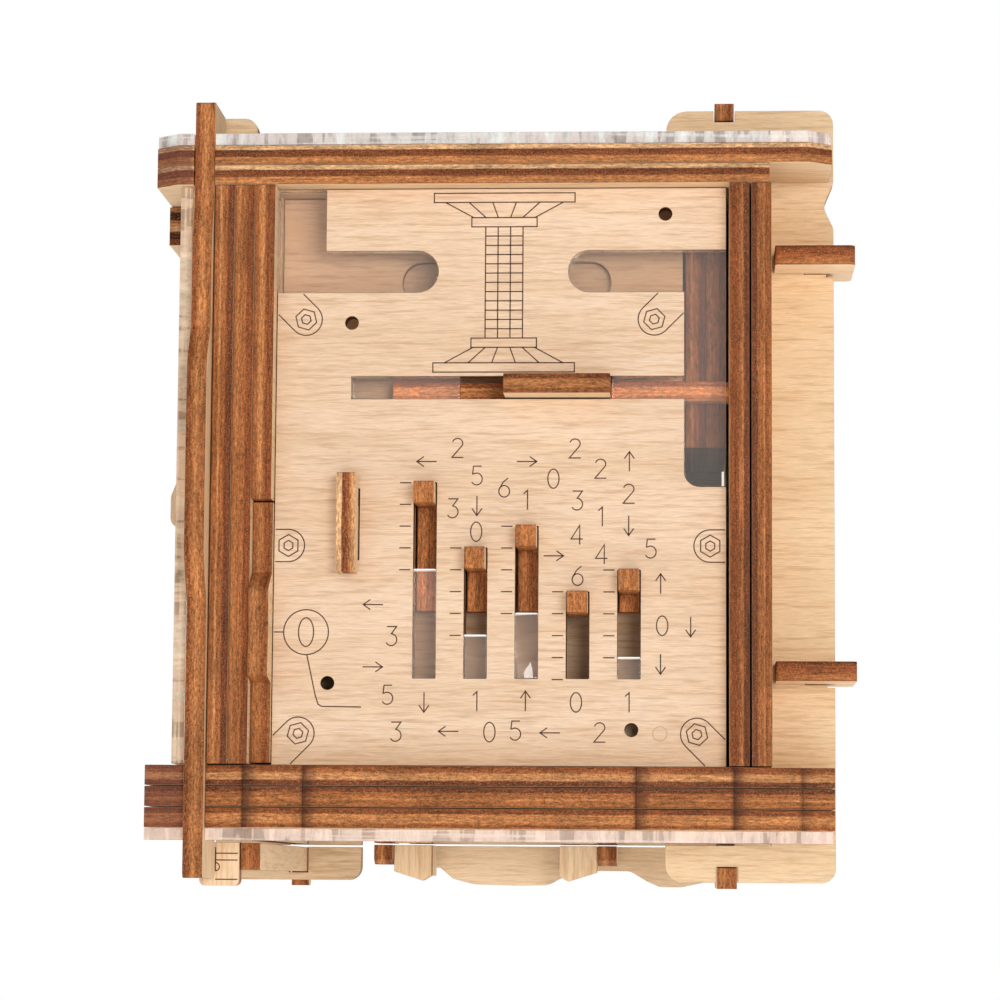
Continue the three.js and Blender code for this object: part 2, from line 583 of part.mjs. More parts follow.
// ---------- assembly ----------
frontPanel();
inserts();
sliderGuide();
SLOTS.forEach(slider);
bolt();
pullTab();
innerPlate();
leftWalls();
leftLatch();
leftSide();
rightWalls();
upright("left_upright_front", false);
upright("left_upright_rear", true);
bottomStack();
topStack();
brackets();
rails();
lugs();
shelves();
clip("left", -1);
clip("right", 1);
skirt();
backPanel();
drawer();

export default group;
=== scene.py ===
import math

import bpy
from mathutils import Matrix, Vector


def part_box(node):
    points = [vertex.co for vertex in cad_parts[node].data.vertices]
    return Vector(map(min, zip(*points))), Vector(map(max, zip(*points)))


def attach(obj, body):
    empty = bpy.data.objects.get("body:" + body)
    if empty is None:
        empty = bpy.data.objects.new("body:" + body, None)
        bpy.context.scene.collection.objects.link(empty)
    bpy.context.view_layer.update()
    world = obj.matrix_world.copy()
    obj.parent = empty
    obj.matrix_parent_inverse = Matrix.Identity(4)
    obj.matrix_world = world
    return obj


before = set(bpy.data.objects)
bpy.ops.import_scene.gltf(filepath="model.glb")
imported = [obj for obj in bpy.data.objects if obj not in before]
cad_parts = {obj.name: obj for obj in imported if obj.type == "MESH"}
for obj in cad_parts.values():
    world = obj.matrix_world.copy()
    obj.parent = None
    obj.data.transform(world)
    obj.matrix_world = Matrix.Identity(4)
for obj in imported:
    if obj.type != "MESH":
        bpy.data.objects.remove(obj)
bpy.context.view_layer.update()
scene = bpy.context.scene
MM = 0.001


# ---------- camera ----------
# The view of the photo: where the camera stands, and its turn, its tilt and its lean.
CAMERA_AT = Vector((36.75, -700.0, 1.5)) * MM
YAW, PITCH, ROLL = math.radians(3.3066), math.radians(6.371), math.radians(0.4)


def make_camera():
    data = bpy.data.cameras.new("camera")
    data.lens, data.sensor_width = 122.4, 36
    data.clip_start, data.clip_end = 0.01, 50
    camera = bpy.data.objects.new("camera", data)
    scene.collection.objects.link(camera)
    ahead = Vector((-math.sin(YAW) * math.cos(PITCH), math.cos(YAW) * math.cos(PITCH), math.sin(PITCH)))
    level = ahead.cross(Vector((0, 0, 1))).normalized()
    upright = level.cross(ahead)
    right = math.cos(ROLL) * level + math.sin(ROLL) * upright
    up = math.cos(ROLL) * upright - math.sin(ROLL) * level
    camera.matrix_world = Matrix.Translation(CAMERA_AT) @ Matrix((right, up, -ahead)).transposed().to_4x4()
    scene.camera = camera


# ---------- node helpers ----------
def rgb(r, g, b):
    """A display colour, 0 to 255, as the linear colour that shaders take."""
    def linear(v):
        v /= 255
        return v / 12.92 if v <= 0.04045 else ((v + 0.055) / 1.055) ** 2.4
    return (linear(r), linear(g), linear(b), 1)


class Tree:
    """A material and short calls that add nodes to it."""

    def __init__(self, name):
        self.material = bpy.data.materials.new(name)
        self.material.use_nodes = True
        self.tree = self.material.node_tree
        self.tree.nodes.clear()

    def put(self, socket, value):
        if isinstance(value, bpy.types.NodeSocket):
            self.tree.links.new(value, socket)
        else:
            socket.default_value = value

    def node(self, kind, inputs=(), **settings):
        n = self.tree.nodes.new(kind)
        for key, value in settings.items():
            setattr(n, key, value)
        for key, value in dict(inputs).items():
            self.put(n.inputs[key], value)
        return n

    def calc(self, operation, a, b=0.0, c=0.0):
        n = self.node("ShaderNodeMath", operation=operation)
        for socket, value in zip(n.inputs, (a, b, c)):
            self.put(socket, value)
        return n.outputs[0]

    def spread(self, value, a, b, to_a=0.0, to_b=1.0):
        """A value from a to b, moved to the range to_a to to_b and held there beyond its ends."""
        n = self.node("ShaderNodeMapRange", {0: value, 1: a, 2: b, 3: to_a, 4: to_b})
        return n.outputs[0]

    def mix(self, factor, a, b):
        n = self.node("ShaderNodeMix", data_type="RGBA")
        self.put(n.inputs[0], factor)
        self.put(n.inputs[6], a)
        self.put(n.inputs[7], b)
        return n.outputs[2]

    def shade(self, colour, factor):
        """A colour made darker or lighter by a factor."""
        n = self.node("ShaderNodeVectorMath", operation="SCALE")
        self.put(n.inputs[0], colour)
        self.put(n.inputs["Scale"], factor)
        return n.outputs[0]

    def place(self, parts, scales, shift=0.0):
        """Texture coordinates from three lengths in mm, each with its own scale, all moved by a shift."""
        n = self.node("ShaderNodeCombineXYZ")
        for socket, part, scale in zip(n.inputs, parts, scales):
            self.put(socket, self.calc("MULTIPLY_ADD", part, scale, shift))
        return n.outputs[0]

    def noise(self, vector, detail=3.0, rough=0.55, warp=0.0):
        n = self.node("ShaderNodeTexNoise", {
            "Vector": vector, "Scale": 1.0, "Detail": detail, "Roughness": rough, "Distortion": warp})
        return n.outputs["Fac"]

    def ramp(self, factor, stops):
        """A colour that changes along a factor from 0 to 1, from stops of (factor, colour)."""
        n = self.node("ShaderNodeValToRGB", {"Fac": factor})
        while len(n.color_ramp.elements) < len(stops):
            n.color_ramp.elements.new(0.5)
        for element, (at, colour) in zip(n.color_ramp.elements, stops):
            element.position, element.color = at, colour
        return n.outputs["Color"]

    def millimetres(self):
        """The piece's own coordinates, in mm, as three sockets."""
        where = self.node("ShaderNodeTexCoord").outputs["Object"]
        scaled = self.shade(where, 1 / MM)
        return self.node("ShaderNodeSeparateXYZ", {0: scaled}).outputs[:3]

    def facing(self, axis):
        """1 where the surface looks along an axis, 0 where it looks across it."""
        normal = self.node("ShaderNodeTexCoord").outputs["Normal"]
        part = self.node("ShaderNodeSeparateXYZ", {0: normal}).outputs[axis]
        return self.spread(self.calc("ABSOLUTE", part), 0.6, 0.9)

    def surface(self, shader):
        """The finished material, with a shader on its surface."""
        self.node("ShaderNodeOutputMaterial", {"Surface": shader})
        return self.material


def thickness_first(p, axis):
    """Three coordinates in the order thickness, then the two along the sheet."""
    return (p[axis], *(p[i] for i in range(3) if i != axis))


# ---------- plywood ----------
# Colours of the burnt layers, dark to light, then the look of each plate's edge through its thickness.
CHAR, MAHOGANY, UMBER = rgb(84, 42, 20), rgb(124, 68, 42), rgb(142, 77, 42)
RED, AMBER, BROWN = rgb(154, 86, 48), rgb(172, 104, 58), rgb(186, 117, 67)
GOLD, HONEY, SAND = rgb(202, 131, 78), rgb(214, 147, 94), rgb(232, 180, 130)
VENEERS = {
    "top": [
        (0, AMBER), (0.08, GOLD), (0.36, GOLD), (0.42, UMBER),
        (0.72, MAHOGANY), (0.78, SAND), (1, SAND)],
    "bottom_a": [
        (0, MAHOGANY), (0.24, MAHOGANY), (0.32, HONEY), (0.6, HONEY),
        (0.68, AMBER), (0.8, RED), (0.88, UMBER)],
    "bottom_b": [
        (0, UMBER), (0.1, AMBER), (0.3, AMBER), (0.4, GOLD),
        (0.5, AMBER), (0.7, AMBER), (0.76, MAHOGANY)],
    "bottom_c": [
        (0, GOLD), (0.08, RED), (0.22, AMBER), (0.3, GOLD),
        (0.68, GOLD), (0.76, UMBER), (1, UMBER)],
    "wall_a": [
        (0, RED), (0.05, AMBER), (0.22, AMBER), (0.31, HONEY),
        (0.42, AMBER), (0.6, AMBER), (0.7, MAHOGANY)],
    "wall_b": [
        (0, RED), (0.06, AMBER), (0.25, BROWN), (0.4, AMBER),
        (0.6, AMBER), (0.68, UMBER), (1, UMBER)],
    "wall_c": [
        (0, RED), (0.2, AMBER), (0.3, GOLD), (0.46, GOLD),
        (0.56, AMBER), (0.7, UMBER), (1, RED)],
    "wall_d": [
        (0, BROWN), (0.07, RED), (0.25, UMBER), (0.45, RED),
        (0.66, BROWN), (0.76, MAHOGANY), (1, MAHOGANY)],
    "wall_e": [
        (0, MAHOGANY), (0.24, MAHOGANY), (0.32, AMBER), (0.55, AMBER),
        (0.62, GOLD), (0.7, RED), (0.9, AMBER)],
    "upright": [
        (0, RED), (0.14, UMBER), (0.3, AMBER), (0.5, GOLD),
        (0.7, BROWN), (0.82, AMBER), (1, AMBER)],
    "peg": [(0, AMBER), (0.4, BROWN), (0.6, AMBER), (1, BROWN)],
    "latch": [(0, AMBER), (0.3, GOLD), (0.6, AMBER), (0.8, RED), (1, BROWN)],
    "shelf": [(0, RED), (0.15, BROWN), (0.5, RED), (0.8, UMBER), (1, CHAR)],
    "block": [
        (0, RED), (0.13, RED), (0.18, CHAR), (0.34, CHAR), (0.4, SAND),
        (0.62, GOLD), (0.68, CHAR), (0.86, CHAR), (0.91, HONEY)],
    "plain": [(0, SAND), (0.26, SAND), (0.32, MAHOGANY), (0.62, RED), (0.7, GOLD), (1, SAND)],
}
GOLDEN_SPECK, DARK_SPECK = rgb(226, 166, 108), rgb(74, 38, 22)
LASER_MARK, EAR_TINT = rgb(58, 30, 22), rgb(104, 62, 56)

# Bars with a peg: the peg is made darker, and the bar behind it is this many times as bright, painted light
# on the bar where it sits back in the slot.
PAINTED_LIGHT_ON_PEGGED_BARS = {"bolt_slider": 1.8, **{f"slider_{i}": 1.2 for i in range(1, 6)}}
PEG_BRIGHTNESS = 0.8
PEG_END, BAR_START = 2, 8  # mm behind the front of the peg


def plywood(node, axis, grain, veneers, face, lightness, marks=(), ear=None):
    """Plywood for one plate: veneer on its two faces, and the burnt layers of its thickness on its edges.
    axis is the direction of its thickness and grain the direction of its face grain, 0 to 2.
    lightness is that of the edges, marks are (x, depth) of dark laser marks on them, and they are
    tinted left of x = ear."""
    name = f"ply.{node}"
    low, high = (corner[axis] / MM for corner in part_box(node))
    seed = sum(ord(c) * (i + 3) for i, c in enumerate(name)) % 97
    t = Tree(name)
    p = t.millimetres()
    across = 3 - axis - grain
    through = t.spread(p[axis], low, high)

    # face veneer: long soft bands, short darker flecks and fine fibres along the grain
    order = (p[grain], p[across], p[axis])
    bands = t.noise(t.place(order, (0.01, 0.11, 0.2), seed), detail=3, warp=0.5)
    flecks = t.noise(t.place(order, (0.1, 1.35, 0.9), seed), detail=5, rough=0.6, warp=0.25)
    fibres = t.noise(t.place(order, (0.35, 5.0, 2.0), seed), detail=3, rough=0.65)
    base = rgb(*face)
    warm = rgb(face[0] - 10, face[1] - 14, face[2] - 18)
    dark = rgb(face[0] - 38, face[1] - 50, face[2] - 58)
    colour = t.mix(t.spread(bands, 0.35, 0.7), base, warm)
    colour = t.mix(t.spread(flecks, 0.48, 0.68, 0, 0.62), colour, dark)
    colour = t.shade(colour, t.spread(fibres, 0.32, 0.68, 0.88, 1.1))

    # edge: layers, streaks along the edge, golden and dark specks and scorched patches
    edge_order = thickness_first(p, axis)
    wander = t.noise(t.place(edge_order, (0.3, 0.1, 0.1), seed), detail=2)
    layer = t.calc("MULTIPLY_ADD", t.calc("SUBTRACT", wander, 0.5), 0.08, through)
    edge = t.ramp(layer, VENEERS[veneers])
    streaks = t.noise(t.place(edge_order, (2.4, 0.13, 0.13), seed), detail=4, rough=0.65)
    short = t.noise(t.place(edge_order, (3.0, 0.9, 0.9), seed + 11), detail=3, rough=0.6)
    pores = t.noise(t.place(edge_order, (4.5, 3.2, 3.2), seed + 5), detail=2, rough=0.5)
    patches = t.noise(t.place(edge_order, (0.1, 0.06, 0.06), seed), detail=2)
    edge = t.shade(edge, t.spread(streaks, 0.3, 0.7, 0.58, 1.42))
    edge = t.shade(edge, t.spread(short, 0.3, 0.7, 0.5, 1.56))
    edge = t.mix(t.spread(pores, 0.55, 0.7, 0, 0.45), edge, GOLDEN_SPECK)
    edge = t.mix(t.spread(pores, 0.45, 0.32, 0, 0.45), edge, DARK_SPECK)
    edge = t.shade(edge, t.spread(patches, 0.35, 0.7, 0.85 * lightness, 0.62 * lightness))
    for start, depth in marks:
        rise = t.spread(p[0], start - 0.7, start)
        near = t.calc("MULTIPLY", rise, t.spread(p[0], start + 2.8, start + 0.4))
        edge = t.mix(t.calc("MULTIPLY", near, depth), edge, LASER_MARK)
    # painted light: the bar grows brighter from its peg back into the slot
    if node in PAINTED_LIGHT_ON_PEGGED_BARS:
        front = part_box(node)[0][1] / MM
        along = t.spread(p[1], front + PEG_END, front + BAR_START, PEG_BRIGHTNESS, PAINTED_LIGHT_ON_PEGGED_BARS[node])
        edge = t.shade(edge, along)
    if ear is not None:
        edge = t.mix(t.spread(p[0], ear + 0.3, ear - 0.3, 0, 0.5), edge, EAR_TINT)
    rim = t.calc("ABSOLUTE", t.calc("SUBTRACT", through, 0.5))
    edge = t.shade(edge, t.spread(rim, 0.45, 0.5, 1.0, 0.7))

    is_face = t.facing(axis)
    final = t.mix(is_face, edge, colour)
    edge_height = t.calc("MULTIPLY_ADD", pores, 0.6, short)
    height = t.mix(is_face, edge_height, t.calc("MULTIPLY_ADD", flecks, -0.5, fibres))
    bump = t.node("ShaderNodeBump", {"Height": height, "Strength": 0.3, "Distance": 0.12 * MM})
    edge_rough = t.spread(short, 0.3, 0.7, 0.4, 0.62)
    rough = t.spread(is_face, 0, 1, edge_rough, t.spread(fibres, 0.3, 0.7, 0.56, 0.7))
    shader = t.node("ShaderNodeBsdfPrincipled", {
        "Base Color": final, "Roughness": rough, "IOR": 1.45, "Normal": bump.outputs[0],
        "Specular IOR Level": t.spread(is_face, 0, 1, 0.1, 0.2)})
    return t.surface(shader.outputs[0])


# ---------- clear acrylic ----------
def acrylic(node, axis, edge_colour, reflection_veil=0.03, edge_frost_and_glint=(0.45, 0.85), painted_highlight_z=None):
    """Clear sheet: glass with a faint whitish veil on its two faces, a painted reflection of the bright
    room, and whitish streaks on its cut edges, their frosting together with painted highlight.
    Lamps shine through it, as they do through real thin sheet. A painted highlight runs along the rim at z
    = lit.
    haze is how much of the veil the faces have, and edge_frost_and_glint how much the edges have, least and
    most."""
    def tint(change):
        return rgb(*(min(255, v + change) for v in edge_colour))
    t = Tree(f"acrylic.{node}")
    p = t.millimetres()
    order = thickness_first(p, axis)
    streaks = t.noise(t.place(order, (0.3, 0.55, 0.55)), detail=5, rough=0.7)
    broad = t.noise(t.place(order, (0.1, 0.05, 0.05), 7.0), detail=2)
    is_face = t.facing(axis)
    blocks = t.noise(t.place(order, (0.05, 0.3, 0.3), 3.0), detail=3, rough=0.6)
    lines = t.noise(t.place(order, (1.6, 0.03, 0.03), 5.0), detail=2)
    edge = t.mix(t.spread(streaks, 0.5, 0.72, 0, 0.8), tint(0), tint(-62))
    edge = t.mix(t.spread(broad, 0.5, 0.7, 0, 0.6), edge, tint(-24))
    edge = t.mix(t.spread(blocks, 0.54, 0.58, 0, 0.8), edge, tint(-76))
    edge = t.mix(t.spread(blocks, 0.45, 0.42, 0, 0.8), edge, tint(16))
    edge = t.mix(t.spread(lines, 0.54, 0.6, 0, 0.6), edge, tint(16))
    # whitish colour of the veil on the faces, a painted reflection of the bright room
    face = rgb(232, 222, 218)
    # painted highlight: a near-white band, with more of the veil, along the rim at the top of a slot insert
    if painted_highlight_z is not None:
        rim = t.spread(p[2], painted_highlight_z - 0.42, painted_highlight_z - 0.3)
        face = t.mix(rim, face, rgb(255, 252, 248))
        reflection_veil = t.calc("MAXIMUM", t.calc("MULTIPLY", rim, 0.8), reflection_veil)
    seen = t.mix(is_face, edge, face)
    veil = t.node("ShaderNodeBsdfPrincipled", {"Base Color": seen, "Roughness": 0.35})
    glass = t.node("ShaderNodeBsdfGlass", {
        "Color": rgb(251, 247, 242), "Roughness": 0.0, "IOR": 1.49})
    amount = t.spread(is_face, 0, 1, t.spread(streaks, 0.3, 0.7, *edge_frost_and_glint), reflection_veil)
    clear = t.node("ShaderNodeMixShader", {0: amount, 1: glass.outputs[0], 2: veil.outputs[0]})
    lamp = t.node("ShaderNodeLightPath").outputs["Is Shadow Ray"]
    passing = t.node("ShaderNodeBsdfTransparent", {"Color": rgb(240, 238, 241)})
    shader = t.node("ShaderNodeMixShader", {0: lamp, 1: clear.outputs[0], 2: passing.outputs[0]})
    return t.surface(shader.outputs[0])


# ---------- laser engraving ----------
def scorched():
    """The brown bottom of an engraved line."""
    t = Tree("engraving")
    p = t.millimetres()
    depth = t.noise(t.place(p, (1.2, 1.2, 1.2)), detail=3)
    colour = t.ramp(depth, [(0.3, rgb(54, 32, 20)), (0.7, rgb(104, 68, 46))])
    shader = t.node("ShaderNodeBsdfPrincipled", {"Base Color": colour, "Roughness": 0.8})
    return t.surface(shader.outputs[0])


PANEL_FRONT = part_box("front_panel")[0][1]
LINE_WIDTH = 0.23 * MM
# How far a line stands off the face and how far it goes in.
PROUD, SUNK = 0.02 * MM, 0.05 * MM
# At a sharp corner, a line reaches no further than half its width divided by this.
SHARPEST = 0.35


def ribbon(points, closed, front):
    """Vertices and faces of one engraved line through (x, z) points in mm, on a face at y = front."""
    line = [Vector((x * MM, z * MM)) for x, z in points]
    n = len(line)
    sides = []
    for i, here in enumerate(line):
        before = line[i - 1] if closed or i else None
        after = line[(i + 1) % n] if closed or i < n - 1 else None
        a = (here - before).normalized() if before is not None else (after - here).normalized()
        b = (after - here).normalized() if after is not None else a
        along = (a + b).normalized() if (a + b).length > 1e-6 else a
        out = Vector((-along.y, along.x))
        reach = LINE_WIDTH / 2 / max(SHARPEST, out.dot(Vector((-a.y, a.x))))
        sides.append((here + out * reach, here - out * reach))
    vertices = []
    for left, right in sides:
        for edge, y in ((left, -PROUD), (right, -PROUD), (right, SUNK), (left, SUNK)):
            vertices.append((edge.x, front + y, edge.y))
    faces = []
    for i in range(n if closed else n - 1):
        a, b = 4 * i, 4 * ((i + 1) % n)
        for k in range(4):
            faces.append((a + k, a + (k + 1) % 4, b + (k + 1) % 4, b + k))
    if not closed:
        last = 4 * (n - 1)
        faces += [(3, 2, 1, 0), (last, last + 1, last + 2, last + 3)]
    return vertices, faces


def engraved(name, lines, material, front=PANEL_FRONT):
    """One piece from several lines, each (points, closed)."""
    vertices, faces = [], []
    for points, closed in lines:
        more, sides = ribbon(points, closed, front)
        faces += [tuple(len(vertices) + k for k in side) for side in sides]
        vertices += more
    mesh = bpy.data.meshes.new(name)
    mesh.from_pydata(vertices, [], faces)
    mesh.validate()
    mesh.materials.append(material)
    piece = bpy.data.objects.new(name, mesh)
    scene.collection.objects.link(piece)
    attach(piece, "root")


def arc(x, z, rx, rz, start, end, steps=14):
    """Points on an ellipse, angles in degrees from +X, anticlockwise."""
    return [(x + rx * math.cos(math.radians(start + (end - start) * k / steps)),
             z + rz * math.sin(math.radians(start + (end - start) * k / steps))) for k in range(steps + 1)]


# Each digit in a box 1 wide and 2 high about its centre.
GLYPHS = {
    "0": [(arc(0, 0, 0.5, 1, 0, 360, 24)[:-1], True)],
    "1": [([(-0.28, 0.62), (0.08, 1), (0.08, -1)], False)],
    "2": [(arc(0, 0.5, 0.46, 0.5, 165, -30, 12) + [(-0.5, -0.98), (0.52, -0.98)], False)],
    "3": [([(-0.42, 0.98), (0.44, 0.98), (-0.02, 0.24)] + arc(-0.04, -0.38, 0.5, 0.61, 78, -150), False)],
    "4": [([(0.5, -0.42), (-0.55, -0.42), (0.22, 1), (0.22, -1)], False)],
    "5": [([(0.42, 0.98), (-0.3, 0.98), (-0.38, 0.16)] + arc(-0.02, -0.36, 0.5, 0.62, 120, -150), False)],
    "6": [([(0.34, 0.98), (-0.1, 0.55)] + arc(0, -0.4, 0.48, 0.6, 160, 520, 22), False)],
}
DIGIT_WIDTH, DIGIT_HALF_HEIGHT = 2.15, 1.85
# Each digit's centre, in x and z.
DIGITS = [
    ("2", -8.7, 83.6), ("5", -4.95, 78.3), ("6", 0.3, 76.0), ("1", 4.6, 73.6), ("3", -9.5, 72.0),
    ("0", -5.0, 67.5), ("2", 13.8, 83.5), ("0", 9.7, 77.7), ("2", 18.7, 79.6), ("3", 14.3, 73.5),
    ("1", 18.9, 70.4), ("2", 24.1, 74.8), ("4", 14.3, 66.9), ("4", 19.0, 63.2), ("6", 14.4, 59.1),
    ("5", 28.3, 64.3), ("0", 30.5, 49.6), ("3", -21.0, 47.5), ("5", -21.7, 36.3), ("1", -4.8, 35.1),
    ("0", 14.2, 35.0), ("1", 24.1, 35.0), ("3", -20.0, 29.3), ("0", -2.2, 29.3), ("5", 2.7, 29.6),
    ("2", 18.7, 29.3),
]
ARROW_LENGTH, HEAD_LENGTH, HEAD_HALF_WIDTH = 3.8, 1.35, 0.95
# Arrow tips and their directions, in x and z.
ARROWS = [
    (-16.5, 81.0, -1, 0), (6.5, 81.0, 1, 0), (24.2, 82.9, 0, 1), (-4.9, 70.6, 0, -1), (24.1, 66.8, 0, -1),
    (11.7, 62.9, 1, 0), (-26.5, 53.5, -1, 0), (30.2, 59.5, 0, 1), (35.9, 47.5, 0, -1), (30.2, 40.4, 0, -1),
    (-22.7, 41.6, 1, 0), (-14.7, 33.0, 0, -1), (4.6, 37.1, 0, 1), (-11.9, 29.4, -1, 0), (7.4, 29.2, -1, 0),
]
# Nuts: centre, direction that the lug runs off in and turn of the hexagon in degrees,
# then the x of the upright edge and the z of the level edge that the lug runs to.
NUTS = [
    (-38.15, 108.6, 135, 44, -43.5, 113.6), (28.9, 108.5, 45, 15, 34.5, 113.6),
    (-41.0, 64.8, 180, 30, -43.5, None), (39.6, 64.8, 0, 30, 42.4, None),
    (-38.7, 28.9, 225, 15, -43.5, 23.1), (37.1, 29.0, 315, 43, 42.4, 23.1),
]
NUT_RADIUS, BORE_RADIUS, LUG_RADIUS = 2.1, 0.97, 3.1
SHORTEST_RUN = 0.3  # a lug's side that would be shorter is left out
# Slots: x of the first and step to the next, height of row 0 and step between rows, row of each slot's top.
FIRST_SLOT, SLOT_STEP, ROW_ZERO, ROW_STEP = -14.8, 9.75, 39.4, 4.18
TOP_ROWS = (9, 6, 7, 4, 5)
# Ticks on the left of a slot: how many, how far the first is below the top, and where each starts and ends.
TICKS, TICK_DROP, TICK_LEFT, TICK_RIGHT = 5, 0.1, 4.9, 2.75


def digits(material):
    lines = []
    for digit, x, z in DIGITS:
        for points, closed in GLYPHS[digit]:
            placed = [(x + DIGIT_WIDTH * a, z + DIGIT_HALF_HEIGHT * b) for a, b in points]
            lines.append((placed, closed))
    engraved("engraved_digits", lines, material)


def arrows(material):
    lines = []
    for x, z, dx, dz in ARROWS:
        lines.append(([(x, z), (x - ARROW_LENGTH * dx, z - ARROW_LENGTH * dz)], False))
        barbs = [(x - HEAD_LENGTH * dx + side * HEAD_HALF_WIDTH * dz,
                  z - HEAD_LENGTH * dz + side * HEAD_HALF_WIDTH * dx) for side in (-1, 1)]
        lines.append(([barbs[0], (x, z), barbs[1]], False))
    engraved("engraved_arrows", lines, material)


def slot_ticks(material):
    lines = []
    for i, row in enumerate(TOP_ROWS):
        x, top = FIRST_SLOT + SLOT_STEP * i, ROW_ZERO + ROW_STEP * row
        for k in range(TICKS):
            z = top - TICK_DROP - ROW_STEP * k
            lines.append(([(x - TICK_LEFT, z), (x - TICK_RIGHT, z)], False))
    engraved("engraved_ticks", lines, material)


def nuts(material):
    """Hexagons, each in a round lug whose two sides run to the edges of the wood."""
    lines = []
    for x, z, way, turn, edge_x, edge_z in NUTS:
        for r in (NUT_RADIUS, BORE_RADIUS):
            lines.append((arc(x, z, r, r, turn, turn + 360, 6)[:-1], True))
        dx, dz = math.cos(math.radians(way)), math.sin(math.radians(way))
        ring = arc(x, z, LUG_RADIUS, LUG_RADIUS, way + 90, way + 270, 18)
        ends = []
        for px, pz in (ring[0], ring[-1]):
            reach = [(edge_x - px) / dx]
            if edge_z is not None:
                reach.append((edge_z - pz) / dz)
            run = min(reach)
            ends.append([(px + dx * run, pz + dz * run)] if run > SHORTEST_RUN else [])
        lines.append((ends[0] + ring + ends[1], False))
    engraved("engraved_nuts", lines, material)


def dial(material):
    """A ring round an upright oval, a line to the left edge of the panel, and a tail that bends right."""
    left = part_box("front_panel")[0][0] / MM
    x, z, r = -37.4, 48.2, 4.3
    low = z - r
    tail = [
        (x + 0.2, low), (x + 1.9, low - 7.7), (x + 2.45, low - 9.4), (x + 3.1, low - 9.85),
        (-26.7, low - 9.95),
    ]
    lines = [
        (arc(x, z, r, r, 0, 360, 32)[:-1], True),
        (arc(x, z, 1.45, 2.75, 0, 360, 24)[:-1], True),
        ([(x - r, z), (left + 0.1, z)], False),
        (tail, False),
    ]
    engraved("engraved_dial", lines, material)


def column(material):
    """A plain straight column: two stepped plates above and below, and a ribbed shaft."""
    def box(half, low, high):
        return ([(-half, low), (half, low), (half, high), (-half, high)], True)
    wide, narrow, shaft = 13.6, 6.3, 3.6
    foot, height, ribs = 104.9, 21.7, 12
    lines = [
        box(wide, 131.4, 133.2), box(narrow, 126.6, 128.4),
        box(narrow, 103.1, foot), box(wide, 98.3, 100.1),
    ]
    for at_wide, at_narrow in ((131.4, 128.4), (100.1, 103.1)):
        for k in (-1, -0.6, -0.2, 0.2, 0.6, 1):
            lines.append(([(11.4 * k, at_wide), (5.9 * k, at_narrow)], False))
    for x in (-shaft, -1.2, 1.2, shaft):
        lines.append(([(x, foot), (x, 126.6)], False))
    for k in range(1, ribs):
        z = foot + height * k / ribs
        lines.append(([(-shaft, z), (shaft, z)], False))
    engraved("engraved_column", lines, material)


def lug_lines(material):
    """A hooked line and three ticks on the lug at the bottom left."""
    low, high = (corner[0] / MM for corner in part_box("bottom_left_lug"))
    x = low + 0.4 * (high - low)
    lines = [([(x, 7.4), (x, 2.8)], False), (arc(x, 3.6, 0.8, 0.8, -90, 90, 8), False)]
    for z in (6.2, 4.9, 1.2):
        lines.append(([(x, z), (high - 0.3, z)], False))
    engraved("engraved_lug", lines, material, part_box("bottom_left_lug")[0][1])


def plug():
    """The flush round plug low on the right of the panel: only its faint outline shows."""
    x, z, r = 30.1, 29.1, 1.35
    t = Tree("plug")
    shader = t.node("ShaderNodeBsdfPrincipled", {"Base Color": rgb(206, 166, 128), "Roughness": 0.8})
    outline = arc(x, z, r, r, 0, 360, 24)[:-1]
    engraved("plug_outline", [(outline, True)], t.surface(shader.outputs[0]))


# ---------- finish of every plate ----------
FACE_PANEL = (231, 202, 173)
# warmer veneer of the other plates, partly their own tone and partly made paler, painted light on faces in
# partial shade
FACE_SIDE = (235, 205, 167)
# paler veneer: painted light on the plates low under the box, which sit in shade
FACE_LOW_PAINTED_LIGHT = (244, 216, 180)
# darker veneer: painted shade on the inner plate, which sits behind the panel
FACE_BEHIND_PAINTED_SHADE = (212, 180, 146)
